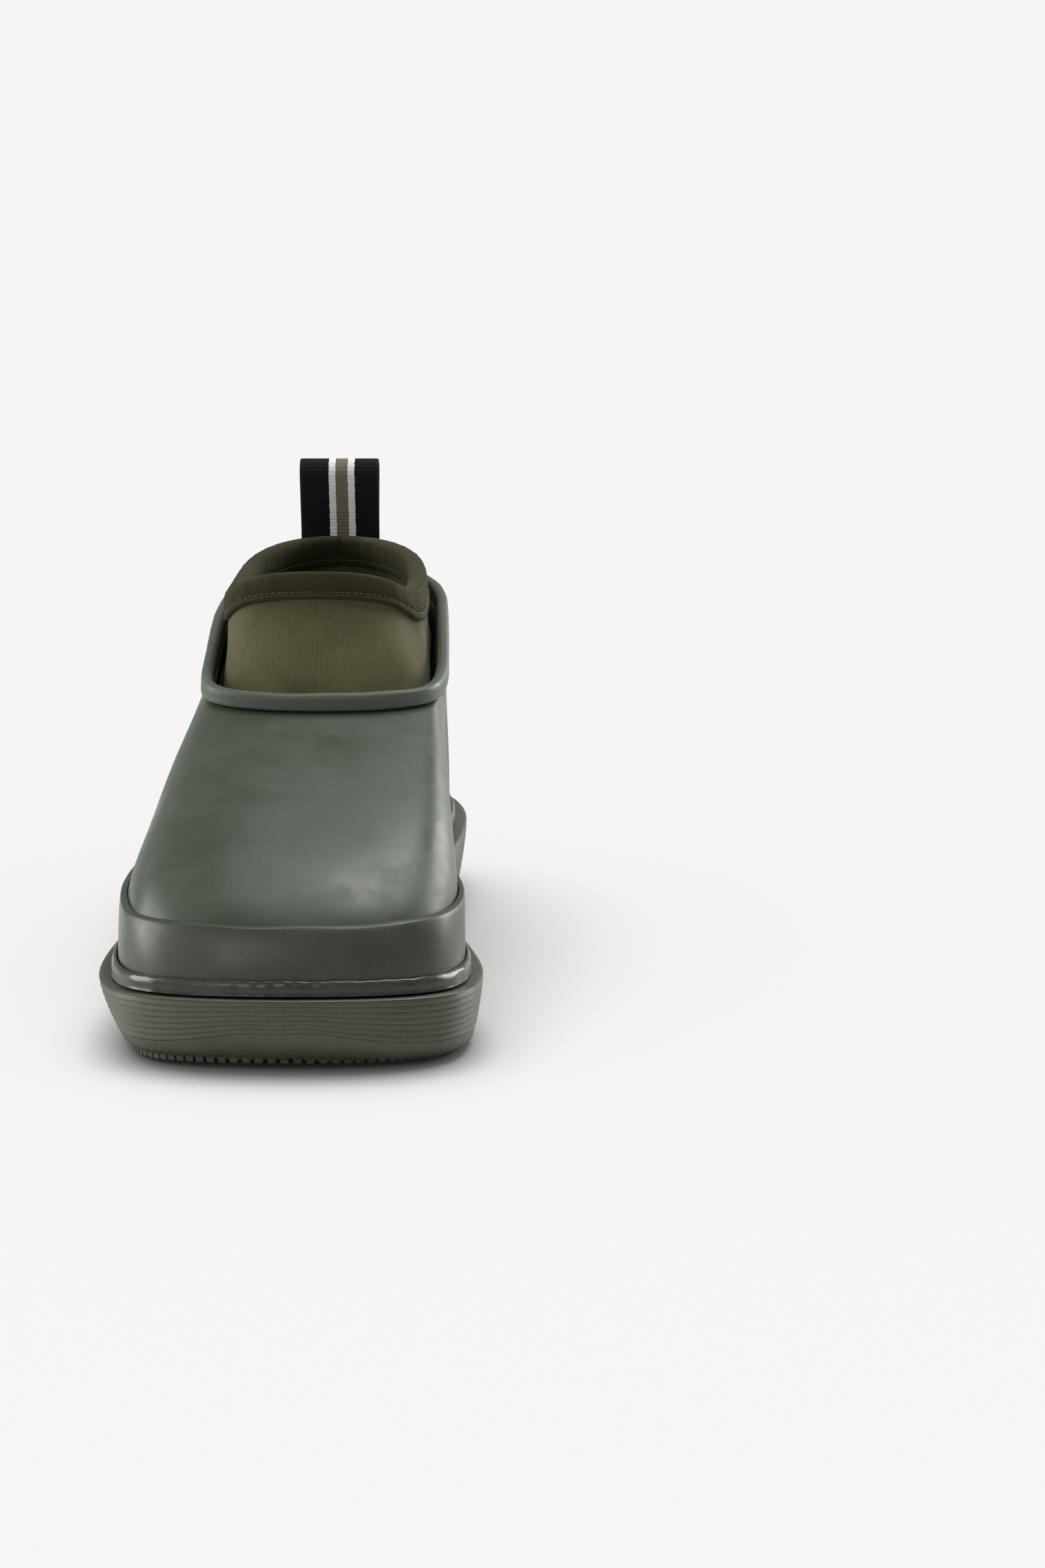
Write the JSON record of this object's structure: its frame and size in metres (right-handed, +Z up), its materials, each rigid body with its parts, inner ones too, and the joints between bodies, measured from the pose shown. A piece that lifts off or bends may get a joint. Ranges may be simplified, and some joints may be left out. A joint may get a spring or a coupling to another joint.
{
  "type": "rubber garden clog",
  "caption": "Right-foot slip-on garden clog in rubber with a ridged platform sole, a knit-faced neoprene ankle collar and a webbing pull loop at the heel.",
  "frame": {"origin": "on the ground under the middle of the sole's outline (bottom centre of the bounding box)", "axes": "+Z up, toe towards -Y, medial side (big toe) towards +X, lateral side towards -X"},
  "size_m": [0.1118, 0.2831, 0.1377],
  "materials": {
    "tread_rubber": "matte olive rubber",
    "sole_rubber": "satin olive grey rubber",
    "core_foam": "closed-cell foam",
    "board_fibre": "pressed fibre board",
    "footbed_foam": "open-cell foam",
    "footbed_knit": "brushed knit",
    "upper_rubber": "matte dark green natural rubber",
    "stiffener_sheet": "impregnated felt",
    "neoprene_knit": "knit-faced neoprene",
    "binding_knit": "ribbed knit tape",
    "sewing_thread": "twisted polyester thread",
    "webbing": "ribbed webbing with a striped centre"
  },
  "bodies": {
    "clog": {"outsole_tread": "tread_rubber", "sole_cup": "sole_rubber", "welt_strip": "sole_rubber", "midsole_core": "core_foam", "insole_board": "board_fibre", "footbed_foam": "footbed_foam", "footbed_cover": "footbed_knit", "rubber_upper": "upper_rubber", "guard_band": "upper_rubber", "heel_patch": "upper_rubber", "kick_strip": "upper_rubber", "rim_band": "upper_rubber", "toe_puff": "stiffener_sheet", "heel_counter": "stiffener_sheet", "neoprene_sock": "neoprene_knit", "collar_binding": "binding_knit", "binding_thread": "sewing_thread", "pull_loop_tails": "webbing", "pull_loop_tack": "sewing_thread"},
    "pull_loop": {"pull_loop": "webbing"}
  },
  "joints": [
    {"name": "pull_loop_fold", "type": "hinge", "parent": "clog", "child": "pull_loop", "pos_m": [0.001, 0.1125, 0.1142], "axis": [1, 0, 0], "range_deg": [-100, 45], "stiffness_Nm_per_rad": 0.005}
  ]
}
